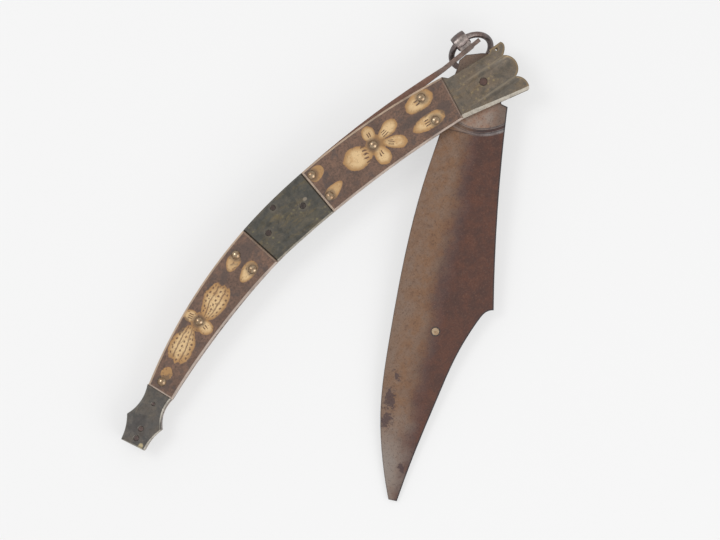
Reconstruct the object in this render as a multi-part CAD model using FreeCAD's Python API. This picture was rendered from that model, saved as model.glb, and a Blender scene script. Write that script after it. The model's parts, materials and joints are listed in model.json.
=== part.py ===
import FreeCAD, Part
import math
import os

# Folding knife, lying flat: +X towards the head, +Y towards the back, +Z up.
# The origin is the middle of the rear middle bolster's outer face. Millimetres and degrees.

# Stack through the thickness
BLADE_THICKNESS = 3.2
SIDE_CLEARANCE = 0.2
LINER_THICKNESS = 1.0
BOLSTER_THICKNESS = 2.4
SCALE_THICKNESS = 2.7

# Handle outline: two edges, each of two arcs that meet at a crest
MIDDLE_WIDTH = 20.3
BACK_CREST_X = 3.0
BACK_FRONT_RADIUS = 303.0
BACK_REAR_RADIUS = 226.0
MOUTH_CREST_X = -20.0
MOUTH_FRONT_RADIUS = 503.0
MOUTH_REAR_RADIUS = 215.0

# Lengths of the panels along the handle, and the lean of their seams
MIDDLE_BOLSTER_LENGTH = 32.8
UPPER_SCALE_LENGTH = 68.2
LOWER_SCALE_LENGTH = 72.6
HEAD_SEAM_LEAN = 16.0
UPPER_SEAM_LEAN = 3.6
LOWER_SEAM_LEAN = -4.1
TAIL_SEAM_LEAN = -14.8
SCALE_BEVEL = 0.8
BOLSTER_BEVEL = 0.6

# Head: a finger and two lobes fanned round the pivot, with channels between raised ridges
PIVOT_FROM_SEAM = 13.9
PIVOT_DROP = 4.105
PIVOT_PIN_RADIUS = 1.65
HEAD_RADIUS = 17.5
HEAD_AXIS_ANGLE = -9.6
HEAD_CHAMFER = 1.7
STEP_REACH_SHARE = 0.70
STEP_ANGLE = 33.6
NOTCH_REACH_SHARE = 0.844
NOTCH_ANGLE = 130.7
FINGER_REACH_SHARES = (0.776, 1.038, 1.027, 0.916, 0.79)
FINGER_ANGLES = (36.1, 23.2, 18.1, 12.7, 9.6)
LOBE_CROWN_REACH_SHARES = (0.925, 1.04)
LOBE_CROWN_ANGLES = (-10.0, -42.9)
LOBE_END_REACH_SHARES = (0.79, 1.115)
LOBE_END_ANGLES = (-34.0, -52.5)
RIDGE_SPACING = 9.8
RIDGE_WIDTH = 0.9
RIDGE_SHIFT = -0.65
SIDE_FLUTE_WIDTH = 8.0
MIDDLE_FLUTE_DEPTH = 1.3
SIDE_FLUTE_DEPTH = 0.7
FLUTE_START = 8.0
FLUTE_START_DEPTH = 0.12
FLUTE_END = 21.0
LINER_HEAD_RADIUS = 13.0
EAR_HOLE_RADIUS = 0.6
EAR_HOLE_DISTANCE = 14.7
EAR_HOLE_ANGLE = 24.2

# Tail: a waisted finial with two side points and a flat end
TAIL_LENGTH = 25.0
TAIL_ANGLE = 199.7
TAIL_BACK_STEP = 0.5
TAIL_POINT_WIDTH = 16.1
TAIL_END_WIDTH = 11.0
TAIL_WAIST_WIDTH = 10.6
TAIL_POINT_SHARE = 0.572
TAIL_WAIST_SHARE = 0.28
TAIL_NECK_WIDTH = 12.0
TAIL_NECK_SHARE = 0.80
TAIL_BEVEL = 0.7
TAIL_RIVET_RADIUS = 1.1
TAIL_RIVET_SHARES = (0.694, 0.868)
TAIL_PEG_RADIUS = 0.7
TAIL_PEG_SHARE = 0.23

# Pins and rivets
PIN_CLEARANCE = 0.03
RUNNING_CLEARANCE = 0.06
PIN_SHANK_RADIUS = 0.9
PIN_DOME_RADIUS = 1.9
PIN_DOME_HEIGHT = 0.9
UPPER_PIN_ALONG_SHARES = (0.86, 0.828, 0.448, 0.047, 0.038)
UPPER_PIN_ACROSS_SHARES = (0.827, 0.277, 0.565, 0.836, 0.293)
LOWER_PIN_ALONG_SHARES = (0.862, 0.874, 0.445, 0.049)
LOWER_PIN_ACROSS_SHARES = (0.764, 0.27, 0.507, 0.585)
MIDDLE_RIVET_RADIUS = 1.2
MIDDLE_RIVET_ALONG_SHARES = (0.745, 0.188)
MIDDLE_RIVET_ACROSS_SHARES = (0.496, 0.57)
SPRING_PIN_RADIUS = 1.1
SPRING_PIN_X = -1.6

# Blade, measured from the pivot: along the blade, and across it towards the cutting edge
BLADE_LENGTH = 179.5
EDGE_DEPTH = 16.7
SPINE_HEIGHT = 24.6
REST_OPENING = 34.1
POINT_WIDTH = 3.6
EDGE_THICKNESS = 0.5
POINT_THICKNESS = 1.6
SPINE_ALONG_SHARES = (0.0446, 0.27, 0.516)
SPINE_ACROSS_SHARES = (0.5, 0.69, 1.0)
CLIP_ALONG_SHARES = (0.519, 0.526, 0.5395, 0.5685, 0.6195, 0.74, 0.895)
CLIP_ACROSS_SHARES = (0.93, 0.865, 0.805, 0.715, 0.583, 0.385, 0.18)
EDGE_ALONG_SHARES = (0.89, 0.80, 0.64, 0.45, 0.255, 0.15, 0.085)
EDGE_ACROSS_SHARES = (0.54, 0.775, 0.935, 1.0, 0.925, 0.80, 0.72)
GRIND_ALONG_SHARES = (0.125, 0.30, 0.52, 0.75, 0.90, 1.02)
GRIND_ACROSS_SHARES = (-0.16, 0.05, 0.20, 0.12, 0.06, 0.0)
GRIND_EDGE_SHARES = (0.77, 0.955, 0.99, 0.845, 0.51, 0.02)
TAPER_START_SHARE = 0.16
RICASSO_RING_RADIUS = 19.6
RICASSO_RING_WIDTH = 0.6
RICASSO_RING_SPACING = 1.3
RICASSO_RING_DEPTH = 0.2
PLUG_RADIUS = 1.6
PLUG_ALONG_SHARE = 0.593
PLUG_ACROSS_SHARE = -0.154

# Tang: a disc with two cam teeth and a notch before the blade's shoulder
TANG_RADIUS = 12.2
TOOTH_HEIGHT = 1.3
REST_TOOTH_ANGLES = (24.0, 44.0, 59.0, 76.0)
LOCK_TOOTH_ANGLES = (257.0, 262.0, 270.0, 276.0)
NOTCH_FLOOR_SHARE = 0.885
NOTCH_ANGLES = (236.5, 250.0, 257.0)
SHOULDER_ALONG_SHARE = 0.0408
SHOULDER_ACROSS_SHARE = 0.383

# Back spring: a leaf that is thick at its pin and thin at its nose
SPRING_PIN_THICKNESS = 5.2
SPRING_TAIL_THICKNESS = 3.0
SPRING_NOSE_THICKNESS = 2.0
SPRING_REST_GAP = 0.15
SPRING_TAIL_INSET = 0.7
NOSE_ANGLE = -4.6
NOSE_LENGTH = 19.2
NOSE_OVERHANG = 10.2
NOSE_STEP_LENGTH = 3.6
NOSE_STEP_HEIGHT = 0.35

# Ring and the eye that holds it on the spring's nose
LUG_PLACE = 3.8
LUG_LENGTH = 6.2
LUG_RADIUS = 3.4
LUG_EYE_HEIGHT = 3.8
LUG_FOOT_LENGTH = 5.4
LUG_FOOT_WIDTH = 4.4
LUG_END_RADIUS = 3.05
LUG_MOUTH_RADIUS = 2.75
LUG_TENON_RADIUS = 0.9
RING_WIRE_RADIUS = 1.3
RING_MEAN_RADIUS = 8.9
RING_TILT = 48.0
RING_SKEW = 8.0
RING_SLIDE = 7.0
RING_PLAY = 0.45

CUT_OVERRUN = 2.0

# Worked-out heights and places
SLOT = BLADE_THICKNESS + 2 * SIDE_CLEARANCE
MID_Z = BOLSTER_THICKNESS + LINER_THICKNESS + SLOT / 2
LINER_Z = MID_Z + SLOT / 2
COVER_Z = LINER_Z + LINER_THICKNESS
BOLSTER_TOP = COVER_Z + BOLSTER_THICKNESS
SCALE_TOP = COVER_Z + SCALE_THICKNESS
HALF_MIDDLE = MIDDLE_BOLSTER_LENGTH / 2
HEAD_SEAM_X = HALF_MIDDLE + UPPER_SCALE_LENGTH
TAIL_SEAM_X = -HALF_MIDDLE - LOWER_SCALE_LENGTH
UP = FreeCAD.Vector(0, 0, 1)


def at(x, y, z=0.0):
    return FreeCAD.Vector(x, y, z)


def heading(angle):
    turn = math.radians(angle)
    return at(math.cos(turn), math.sin(turn))


def polar(centre, radius, angle):
    return centre + heading(angle) * radius


def arc(start, middle, end):
    return Part.Arc(start, middle, end).toShape()


def line(start, end):
    return Part.makeLine(start, end)


def curve(points):
    spline = Part.BSplineCurve()
    spline.interpolate(points)
    return spline.toShape()


def plate(edges, bottom, height):
    """A flat solid of one closed outline."""
    face = Part.Face(Part.Wire(Part.__sortEdges__(edges)))
    solid = face.extrude(UP * height)
    solid.translate(UP * bottom)
    return solid


def polygon_plate(points, bottom, height):
    sides = [line(start, end) for start, end in zip(points, points[1:] + points[:1])]
    return plate(sides, bottom, height)


def drill(solid, places, radius):
    """Round holes right through the knife's thickness."""
    depth = SCALE_TOP + CUT_OVERRUN
    for place in places:
        low = at(place.x, place.y, MID_Z - depth)
        solid = solid.cut(Part.makeCylinder(radius, 2 * depth, low))
    return solid


def to_rear(solid):
    """The same piece on the other side of the blade's plane."""
    return solid.mirror(at(0, 0, MID_Z), UP)


# Handle outline

def drop(x, crest_x, front_radius, rear_radius):
    radius = front_radius if x > crest_x else rear_radius
    return radius - math.sqrt(radius**2 - (x - crest_x) ** 2)


def back_y(x):
    return MIDDLE_WIDTH / 2 - drop(x, BACK_CREST_X, BACK_FRONT_RADIUS, BACK_REAR_RADIUS)


def mouth_y(x):
    return -MIDDLE_WIDTH / 2 - drop(x, MOUTH_CREST_X, MOUTH_FRONT_RADIUS, MOUTH_REAR_RADIUS)


def middle_y(x):
    return (back_y(x) + mouth_y(x)) / 2


PIVOT = at(HEAD_SEAM_X + PIVOT_FROM_SEAM, middle_y(HEAD_SEAM_X) - PIVOT_DROP)


def edge_run(edge, crest_x, start, end):
    """The arcs of one handle edge between two places, split at its crest."""
    stops = [start, end]
    if start < crest_x < end:
        stops = [start, crest_x, end]
    arcs = []
    for low, high in zip(stops, stops[1:]):
        middle = (low + high) / 2
        arcs.append(arc(at(low, edge(low)), at(middle, edge(middle)), at(high, edge(high))))
    return arcs


def seam_end(seam_x, lean, edge):
    """Where a leaning seam meets an edge of the handle."""
    x = seam_x
    for _ in range(30):
        x = seam_x + math.tan(math.radians(lean)) * (edge(x) - middle_y(seam_x))
    return at(x, edge(x))


def panel_edges(rear_x, rear_lean, front_x, front_lean):
    """The outline of a stretch of the handle between two seams."""
    rear_back = seam_end(rear_x, rear_lean, back_y)
    front_back = seam_end(front_x, front_lean, back_y)
    rear_mouth = seam_end(rear_x, rear_lean, mouth_y)
    front_mouth = seam_end(front_x, front_lean, mouth_y)
    edges = edge_run(back_y, BACK_CREST_X, rear_back.x, front_back.x)
    edges += edge_run(mouth_y, MOUTH_CREST_X, rear_mouth.x, front_mouth.x)
    return edges + [line(rear_back, rear_mouth), line(front_back, front_mouth)]


def bevel_rim(solid, top, size):
    """Bevel all edges of a panel's outer face."""
    chosen = []
    for edge in solid.Edges:
        if all(abs(vertex.Z - top) < PIN_CLEARANCE for vertex in edge.Vertexes):
            chosen.append(edge)
    return solid.makeChamfer(size, chosen)


def places_on_panel(rear_x, front_x, along_shares, across_shares):
    places = []
    for along_share, across_share in zip(along_shares, across_shares):
        x = rear_x + along_share * (front_x - rear_x)
        y = mouth_y(x) + across_share * (back_y(x) - mouth_y(x))
        places.append(at(x, y))
    return places


UPPER_PIN_PLACES = places_on_panel(
    HALF_MIDDLE, HEAD_SEAM_X, UPPER_PIN_ALONG_SHARES, UPPER_PIN_ACROSS_SHARES
)
LOWER_PIN_PLACES = places_on_panel(
    TAIL_SEAM_X, -HALF_MIDDLE, LOWER_PIN_ALONG_SHARES, LOWER_PIN_ACROSS_SHARES
)
MIDDLE_RIVET_PLACES = places_on_panel(
    -HALF_MIDDLE, HALF_MIDDLE, MIDDLE_RIVET_ALONG_SHARES, MIDDLE_RIVET_ACROSS_SHARES
)
SPRING_PIN_PLACE = at(SPRING_PIN_X, back_y(SPRING_PIN_X) - SPRING_PIN_THICKNESS / 2)


def scale(rear_x, rear_lean, front_x, front_lean, pin_places):
    """A bone plate with a bevelled rim and its pin holes."""
    solid = plate(panel_edges(rear_x, rear_lean, front_x, front_lean), COVER_Z, SCALE_THICKNESS)
    solid = bevel_rim(solid, SCALE_TOP, SCALE_BEVEL)
    return drill(solid, pin_places, PIN_SHANK_RADIUS + PIN_CLEARANCE)


def middle_bolster():
    edges = panel_edges(-HALF_MIDDLE, LOWER_SEAM_LEAN, HALF_MIDDLE, UPPER_SEAM_LEAN)
    solid = plate(edges, COVER_Z, BOLSTER_THICKNESS)
    solid = bevel_rim(solid, BOLSTER_TOP, BOLSTER_BEVEL)
    solid = drill(solid, MIDDLE_RIVET_PLACES, MIDDLE_RIVET_RADIUS + PIN_CLEARANCE)
    return drill(solid, [SPRING_PIN_PLACE], SPRING_PIN_RADIUS + PIN_CLEARANCE)


# Head bolster

def head_edges():
    """The outline of the head, from its seam round the finger and the lobes."""
    seam_back = seam_end(HEAD_SEAM_X, HEAD_SEAM_LEAN, back_y)
    seam_mouth = seam_end(HEAD_SEAM_X, HEAD_SEAM_LEAN, mouth_y)
    notch = polar(PIVOT, NOTCH_REACH_SHARE * HEAD_RADIUS, NOTCH_ANGLE)
    step = polar(PIVOT, STEP_REACH_SHARE * HEAD_RADIUS, STEP_ANGLE)
    finger = []
    for reach_share, angle in zip(FINGER_REACH_SHARES, FINGER_ANGLES):
        finger.append(polar(PIVOT, reach_share * HEAD_RADIUS, angle))
    edges = [line(seam_mouth, seam_back), line(seam_back, notch), line(notch, step)]
    edges += [line(step, finger[0]), line(finger[0], finger[1]), curve(finger[1:])]
    start = finger[-1]
    for lobe in range(len(LOBE_CROWN_ANGLES)):
        crown = polar(PIVOT, LOBE_CROWN_REACH_SHARES[lobe] * HEAD_RADIUS, LOBE_CROWN_ANGLES[lobe])
        end = polar(PIVOT, LOBE_END_REACH_SHARES[lobe] * HEAD_RADIUS, LOBE_END_ANGLES[lobe])
        edges.append(arc(start, crown, end))
        start = end
    edges.append(line(start, seam_mouth))
    return edges


def flute(width, depth, offset):
    """A round channel of even width that deepens from the pivot's side towards the lobes."""
    along = heading(HEAD_AXIS_ANGLE)
    across = at(-along.y, along.x)
    rise = UP * CUT_OVERRUN
    sections = []
    for reach, bottom in ((-FLUTE_START, FLUTE_START_DEPTH), (FLUTE_END, depth)):
        middle = PIVOT + along * reach + across * offset + UP * BOLSTER_TOP
        left = middle - across * (width / 2)
        right = middle + across * (width / 2)
        sides = [arc(left, middle - UP * bottom, right), line(right, right + rise)]
        sides += [line(right + rise, left + rise), line(left + rise, left)]
        sections.append(Part.Wire(sides))
    return Part.makeLoft(sections, True, True)


def head_bolster():
    solid = plate(head_edges(), COVER_Z, BOLSTER_THICKNESS)
    seam_mouth = seam_end(HEAD_SEAM_X, HEAD_SEAM_LEAN, mouth_y)
    end = polar(PIVOT, LOBE_END_REACH_SHARES[-1] * HEAD_RADIUS, LOBE_END_ANGLES[-1])
    middle = (seam_mouth + end) / 2 + UP * BOLSTER_TOP
    lower_edges = []
    for edge in solid.Edges:
        if (edge.CenterOfMass - middle).Length < PIN_CLEARANCE:
            lower_edges.append(edge)
    solid = solid.makeChamfer(HEAD_CHAMFER, lower_edges)
    side_offset = (RIDGE_SPACING + SIDE_FLUTE_WIDTH + RIDGE_WIDTH) / 2
    channels = [
        flute(RIDGE_SPACING - RIDGE_WIDTH, MIDDLE_FLUTE_DEPTH, RIDGE_SHIFT),
        flute(SIDE_FLUTE_WIDTH, SIDE_FLUTE_DEPTH, RIDGE_SHIFT + side_offset),
        flute(SIDE_FLUTE_WIDTH, SIDE_FLUTE_DEPTH, RIDGE_SHIFT - side_offset),
    ]
    solid = solid.cut(channels)
    solid = drill(solid, [PIVOT], PIVOT_PIN_RADIUS + PIN_CLEARANCE)
    return drill(solid, [polar(PIVOT, EAR_HOLE_DISTANCE, EAR_HOLE_ANGLE)], EAR_HOLE_RADIUS)


# Tail finial

def tail_roots(inset):
    """The two ends of the tail's seam: the tail stands proud of the handle's back."""
    back = seam_end(TAIL_SEAM_X, TAIL_SEAM_LEAN, back_y)
    mouth = seam_end(TAIL_SEAM_X, TAIL_SEAM_LEAN, mouth_y)
    out = (back - mouth).normalize()
    return back + out * (TAIL_BACK_STEP - inset), mouth + out * inset


TAIL_ROOT = (tail_roots(0)[0] + tail_roots(0)[1]) / 2


def tail_point(along_share, offset):
    """A place on the tail: share of its length from the seam, and offset from its axis."""
    axis = heading(TAIL_ANGLE)
    side = at(axis.y, -axis.x)
    return TAIL_ROOT + axis * (along_share * TAIL_LENGTH) + side * offset


def tail_side(side, inset, root):
    """One side of the finial: a hollow to the point and a hollow to the end."""
    waist = tail_point(TAIL_WAIST_SHARE, side * (TAIL_WAIST_WIDTH / 2 - inset))
    point = tail_point(TAIL_POINT_SHARE, side * (TAIL_POINT_WIDTH / 2 - inset))
    neck = tail_point(TAIL_NECK_SHARE, side * (TAIL_NECK_WIDTH / 2 - inset))
    end = tail_point(1 - inset / TAIL_LENGTH, side * (TAIL_END_WIDTH / 2 - inset))
    return [arc(root, waist, point), arc(point, neck, end)], end


def tail_edges(inset):
    back_root, mouth_root = tail_roots(inset)
    back_arcs, back_end = tail_side(1, inset, back_root)
    mouth_arcs, mouth_end = tail_side(-1, inset, mouth_root)
    return back_arcs + mouth_arcs + [line(back_end, mouth_end), line(back_root, mouth_root)]


TAIL_RIVET_PLACES = [tail_point(share, 0) for share in TAIL_RIVET_SHARES]
TAIL_PEG_PLACE = tail_point(TAIL_PEG_SHARE, 0)


def drill_tail(solid, clearance):
    solid = drill(solid, TAIL_RIVET_PLACES, TAIL_RIVET_RADIUS + clearance)
    return drill(solid, [TAIL_PEG_PLACE], TAIL_PEG_RADIUS + clearance)


def tail_bolster():
    lower = plate(tail_edges(0), COVER_Z, BOLSTER_THICKNESS - TAIL_BEVEL)
    base = Part.Wire(Part.__sortEdges__(tail_edges(0)))
    crown = Part.Wire(Part.__sortEdges__(tail_edges(TAIL_BEVEL)))
    base.translate(UP * (BOLSTER_TOP - TAIL_BEVEL))
    crown.translate(UP * BOLSTER_TOP)
    bevelled = Part.makeLoft([base, crown], True, True)
    return drill_tail(lower.fuse(bevelled).removeSplitter(), PIN_CLEARANCE)


# Liner

def liner():
    body = panel_edges(TAIL_SEAM_X, TAIL_SEAM_LEAN, HEAD_SEAM_X, HEAD_SEAM_LEAN)
    solid = plate(body, LINER_Z, LINER_THICKNESS)
    head = plate(head_edges(), LINER_Z, LINER_THICKNESS)
    round_head = Part.makeCylinder(LINER_HEAD_RADIUS, LINER_THICKNESS, PIVOT + UP * LINER_Z)
    seam_back = seam_end(HEAD_SEAM_X, HEAD_SEAM_LEAN, back_y)
    seam_mouth = seam_end(HEAD_SEAM_X, HEAD_SEAM_LEAN, mouth_y)
    neck = polygon_plate([seam_back, PIVOT, seam_mouth], LINER_Z, LINER_THICKNESS)
    tail = plate(tail_edges(0), LINER_Z, LINER_THICKNESS)
    solid = solid.fuse([head.common(round_head.fuse(neck)), tail]).removeSplitter()
    solid = drill(solid, UPPER_PIN_PLACES + LOWER_PIN_PLACES, PIN_SHANK_RADIUS + PIN_CLEARANCE)
    solid = drill(solid, MIDDLE_RIVET_PLACES, MIDDLE_RIVET_RADIUS + PIN_CLEARANCE)
    solid = drill(solid, [SPRING_PIN_PLACE], SPRING_PIN_RADIUS + PIN_CLEARANCE)
    solid = drill(solid, [PIVOT], PIVOT_PIN_RADIUS + PIN_CLEARANCE)
    return drill_tail(solid, PIN_CLEARANCE)


# Pins and rivets

def domed_pin(place):
    """A pin with a domed head on the bone and its shank down to the liner's inner face."""
    shank_length = SCALE_THICKNESS + LINER_THICKNESS
    shank = Part.makeCylinder(PIN_SHANK_RADIUS, shank_length, place + UP * LINER_Z)
    ball_radius = (PIN_DOME_RADIUS**2 + PIN_DOME_HEIGHT**2) / (2 * PIN_DOME_HEIGHT)
    centre = place + UP * (SCALE_TOP + PIN_DOME_HEIGHT - ball_radius)
    ball = Part.makeSphere(ball_radius, centre)
    cap = Part.makeCylinder(ball_radius, PIN_DOME_HEIGHT, place + UP * SCALE_TOP)
    return shank.fuse(ball.common(cap)).removeSplitter()


def group(solids):
    return Part.makeCompound(solids)


def middle_rivets():
    length = LINER_THICKNESS + BOLSTER_THICKNESS
    rivets = []
    for place in MIDDLE_RIVET_PLACES:
        rivets.append(Part.makeCylinder(MIDDLE_RIVET_RADIUS, length, place + UP * LINER_Z))
    return group(rivets)


def through_pin(place, radius, sunk=0.0):
    """A flush pin from the rear bolster's outer face to the front one's."""
    half = BOLSTER_TOP - MID_Z - sunk
    return Part.makeCylinder(radius, 2 * half, place + UP * (MID_Z - half))


def tail_rivets():
    rivets = [through_pin(place, TAIL_RIVET_RADIUS) for place in TAIL_RIVET_PLACES]
    return group(rivets + [through_pin(TAIL_PEG_PLACE, TAIL_PEG_RADIUS)])


# Blade, drawn folded along the handle and then opened to its rest angle

def blade_at(along, across):
    return PIVOT + at(-along, across)


def blade_points(along_shares, across_shares, depth):
    points = []
    for along_share, across_share in zip(along_shares, across_shares):
        points.append(blade_at(along_share * BLADE_LENGTH, across_share * depth))
    return points


def blade_half_thickness(along):
    """Half the blade's thickness, which tapers from the ricasso to the point."""
    start = TAPER_START_SHARE * BLADE_LENGTH
    share = max(0.0, (along - start) / (BLADE_LENGTH - start))
    return (BLADE_THICKNESS + share * (POINT_THICKNESS - BLADE_THICKNESS)) / 2


def blade_plate():
    """The blade's outline at its full thickness: spine, clip, point and cutting edge."""
    bottom = MID_Z - BLADE_THICKNESS / 2
    shoulder = blade_at(SHOULDER_ALONG_SHARE * BLADE_LENGTH, -SHOULDER_ACROSS_SHARE * SPINE_HEIGHT)
    spine = blade_points(SPINE_ALONG_SHARES, SPINE_ACROSS_SHARES, -SPINE_HEIGHT)
    clip = [spine[-1]] + blade_points(CLIP_ALONG_SHARES, CLIP_ACROSS_SHARES, -SPINE_HEIGHT)
    clip.append(blade_at(BLADE_LENGTH, -POINT_WIDTH / 2))
    edge = [blade_at(BLADE_LENGTH, POINT_WIDTH / 2)]
    edge += blade_points(EDGE_ALONG_SHARES, EDGE_ACROSS_SHARES, EDGE_DEPTH)
    edges = [line(PIVOT, shoulder), line(shoulder, spine[0]), arc(*spine), curve(clip)]
    edges += [line(clip[-1], edge[0]), curve(edge), line(edge[-1], PIVOT)]
    return plate(edges, bottom, BLADE_THICKNESS)


def tooth(angles):
    """A cam tooth that rises from the tang's disc between the first and last angle."""
    reaches = (TANG_RADIUS, TANG_RADIUS + TOOTH_HEIGHT, TANG_RADIUS + TOOTH_HEIGHT, TANG_RADIUS)
    corners = [polar(PIVOT, reach, angle) for reach, angle in zip(reaches, angles)]
    return polygon_plate([PIVOT] + corners, MID_Z - BLADE_THICKNESS / 2, BLADE_THICKNESS)


def tang_notch():
    """The cut between the lock tooth and the blade's shoulder."""
    floor = NOTCH_FLOOR_SHARE * TANG_RADIUS
    shoulder = blade_at(SHOULDER_ALONG_SHARE * BLADE_LENGTH, -SHOULDER_ACROSS_SHARE * SPINE_HEIGHT)
    corner = blade_points(SPINE_ALONG_SHARES[:1], SPINE_ACROSS_SHARES[:1], -SPINE_HEIGHT)[0]
    outside = corner + (corner - shoulder)
    points = [
        shoulder,
        polar(PIVOT, floor, NOTCH_ANGLES[0]),
        polar(PIVOT, floor, NOTCH_ANGLES[1]),
        polar(PIVOT, TANG_RADIUS, NOTCH_ANGLES[2]),
        polar(PIVOT, TANG_RADIUS + TOOTH_HEIGHT + CUT_OVERRUN, NOTCH_ANGLES[2]),
        outside,
    ]
    return polygon_plate(points, MID_Z - BLADE_THICKNESS, 2 * BLADE_THICKNESS)


def grind():
    """One side's bevel, from the grind line down to the cutting edge."""
    sections = []
    shares = zip(GRIND_ALONG_SHARES, GRIND_ACROSS_SHARES, GRIND_EDGE_SHARES)
    for along_share, across_share, edge_share in shares:
        along = along_share * BLADE_LENGTH
        half = blade_half_thickness(along)
        line_at = across_share * EDGE_DEPTH
        edge_at = edge_share * EDGE_DEPTH
        fall = (half - EDGE_THICKNESS / 2) / max(edge_at - line_at, POINT_WIDTH / 2)
        outer = edge_at + CUT_OVERRUN
        top = MID_Z + half + CUT_OVERRUN
        rise = CUT_OVERRUN / fall
        inner = blade_at(along, line_at - rise) + UP * top
        low = blade_at(along, outer) + UP * (MID_Z + half - fall * (outer - line_at))
        high = blade_at(along, outer) + UP * top
        sections.append(Part.makePolygon([inner, low, high, inner]))
    return Part.makeLoft(sections, True, False)


def taper():
    """The wedge taken off one side so that the blade thins towards its point."""
    start = TAPER_START_SHARE * BLADE_LENGTH
    end = BLADE_LENGTH + CUT_OVERRUN
    wide = SPINE_HEIGHT + EDGE_DEPTH + 2 * CUT_OVERRUN
    side = -SPINE_HEIGHT - CUT_OVERRUN
    flat = MID_Z + BLADE_THICKNESS / 2
    low = MID_Z + blade_half_thickness(end)
    corners = [
        blade_at(start, side) + UP * flat,
        blade_at(end, side) + UP * low,
        blade_at(end, side) + UP * flat,
    ]
    face = Part.Face(Part.makePolygon(corners + corners[:1]))
    return face.extrude(at(0, wide))


def ricasso_rings():
    """Two shallow engraved arcs round the pivot on one side of the blade."""
    top = MID_Z + BLADE_THICKNESS / 2 - RICASSO_RING_DEPTH
    deep = RICASSO_RING_DEPTH + CUT_OVERRUN
    rings = []
    for count in range(2):
        inner = RICASSO_RING_RADIUS + count * RICASSO_RING_SPACING
        outside = Part.makeCylinder(inner + RICASSO_RING_WIDTH, deep, PIVOT + UP * top)
        rings.append(outside.cut(Part.makeCylinder(inner, deep, PIVOT + UP * top)))
    return rings


PLUG_PLACE = blade_at(PLUG_ALONG_SHARE * BLADE_LENGTH, PLUG_ACROSS_SHARE * EDGE_DEPTH)


def open_to_rest(solid):
    solid.rotate(PIVOT, UP, REST_OPENING)
    return solid


def blade():
    disc = Part.makeCylinder(TANG_RADIUS, BLADE_THICKNESS, PIVOT + UP * (MID_Z - BLADE_THICKNESS / 2))
    solid = blade_plate().fuse([disc, tooth(REST_TOOTH_ANGLES), tooth(LOCK_TOOTH_ANGLES)])
    solid = solid.removeSplitter().cut(tang_notch())
    for cutter in [taper(), grind()] + ricasso_rings():
        solid = solid.cut([cutter, to_rear(cutter)])
    solid = drill(solid, [PIVOT], PIVOT_PIN_RADIUS + RUNNING_CLEARANCE)
    solid = drill(solid, [PLUG_PLACE], PLUG_RADIUS + PIN_CLEARANCE)
    return open_to_rest(solid)


def blade_plug():
    half = blade_half_thickness(PLUG_ALONG_SHARE * BLADE_LENGTH)
    return open_to_rest(Part.makeCylinder(PLUG_RADIUS, 2 * half, PLUG_PLACE + UP * (MID_Z - half)))


# Back spring with its nose over the tang

NOSE_WAY = heading(NOSE_ANGLE)
NOSE_UP = at(-NOSE_WAY.y, NOSE_WAY.x)
NOSE_SEAT = PIVOT + NOSE_UP * (TANG_RADIUS + TOOTH_HEIGHT + SPRING_REST_GAP)


def nose_at(along, height):
    """A place on the nose: along it from the pivot's foot, and up from its underside."""
    return NOSE_SEAT + NOSE_WAY * along + NOSE_UP * height


def level_arc(crest, end):
    """An arc that leaves the crest level and runs to the end."""
    reach = end.x - crest.x
    fall = crest.y - end.y
    radius = (reach**2 + fall**2) / (2 * fall)
    middle_x = crest.x + reach / 2
    middle_y = crest.y - radius + math.sqrt(radius**2 - (reach / 2) ** 2)
    return arc(crest, at(middle_x, middle_y), end)


def back_spring():
    width = BLADE_THICKNESS
    bottom = MID_Z - width / 2
    root = NOSE_OVERHANG - NOSE_LENGTH
    step = NOSE_OVERHANG - NOSE_STEP_LENGTH
    crest = at(BACK_CREST_X, MIDDLE_WIDTH / 2)
    under = crest - at(0, SPRING_PIN_THICKNESS)
    tail_back = seam_end(TAIL_SEAM_X, TAIL_SEAM_LEAN, back_y)
    tail_under = tail_back - at(0, SPRING_TAIL_THICKNESS)
    nose = [
        nose_at(root, SPRING_NOSE_THICKNESS),
        nose_at(NOSE_OVERHANG, SPRING_NOSE_THICKNESS),
        nose_at(NOSE_OVERHANG, NOSE_STEP_HEIGHT),
        nose_at(step, NOSE_STEP_HEIGHT),
        nose_at(step - NOSE_STEP_HEIGHT, 0),
        nose_at(root, 0),
    ]
    edges = [line(start, end) for start, end in zip(nose, nose[1:])]
    edges += [level_arc(crest, nose[0]), level_arc(under, nose[-1])]
    edges += [level_arc(crest, tail_back), level_arc(under, tail_under), line(tail_back, tail_under)]
    solid = plate(edges, bottom, width)
    solid = solid.fuse(plate(tail_edges(SPRING_TAIL_INSET), bottom, width)).removeSplitter()
    solid = drill(solid, [SPRING_PIN_PLACE], SPRING_PIN_RADIUS + RUNNING_CLEARANCE)
    solid = drill_tail(solid, RUNNING_CLEARANCE)
    hole_base = nose_at(LUG_PLACE, -CUT_OVERRUN) + UP * MID_Z
    depth = SPRING_NOSE_THICKNESS + 2 * CUT_OVERRUN
    return solid.cut(Part.makeCylinder(LUG_TENON_RADIUS + PIN_CLEARANCE, depth, hole_base, NOSE_UP))


# Ring and its eye

LUG_EYE = nose_at(LUG_PLACE, SPRING_NOSE_THICKNESS + LUG_EYE_HEIGHT) + UP * MID_Z


def turned(middle_radius, end_radius):
    """A round form as long as the eye, with one radius in the middle and another at both ends."""
    half = LUG_LENGTH / 2
    ends = [LUG_EYE + NOSE_WAY * reach + NOSE_UP * end_radius for reach in (-half, half)]
    side = arc(ends[0], LUG_EYE + NOSE_UP * middle_radius, ends[1])
    axis_ends = [LUG_EYE - NOSE_WAY * half, LUG_EYE + NOSE_WAY * half]
    sides = [line(axis_ends[0], ends[0]), side, line(ends[1], axis_ends[1]), line(*axis_ends)]
    face = Part.Face(Part.Wire(Part.__sortEdges__(sides)))
    return face.revolve(LUG_EYE, NOSE_WAY, 360)


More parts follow.
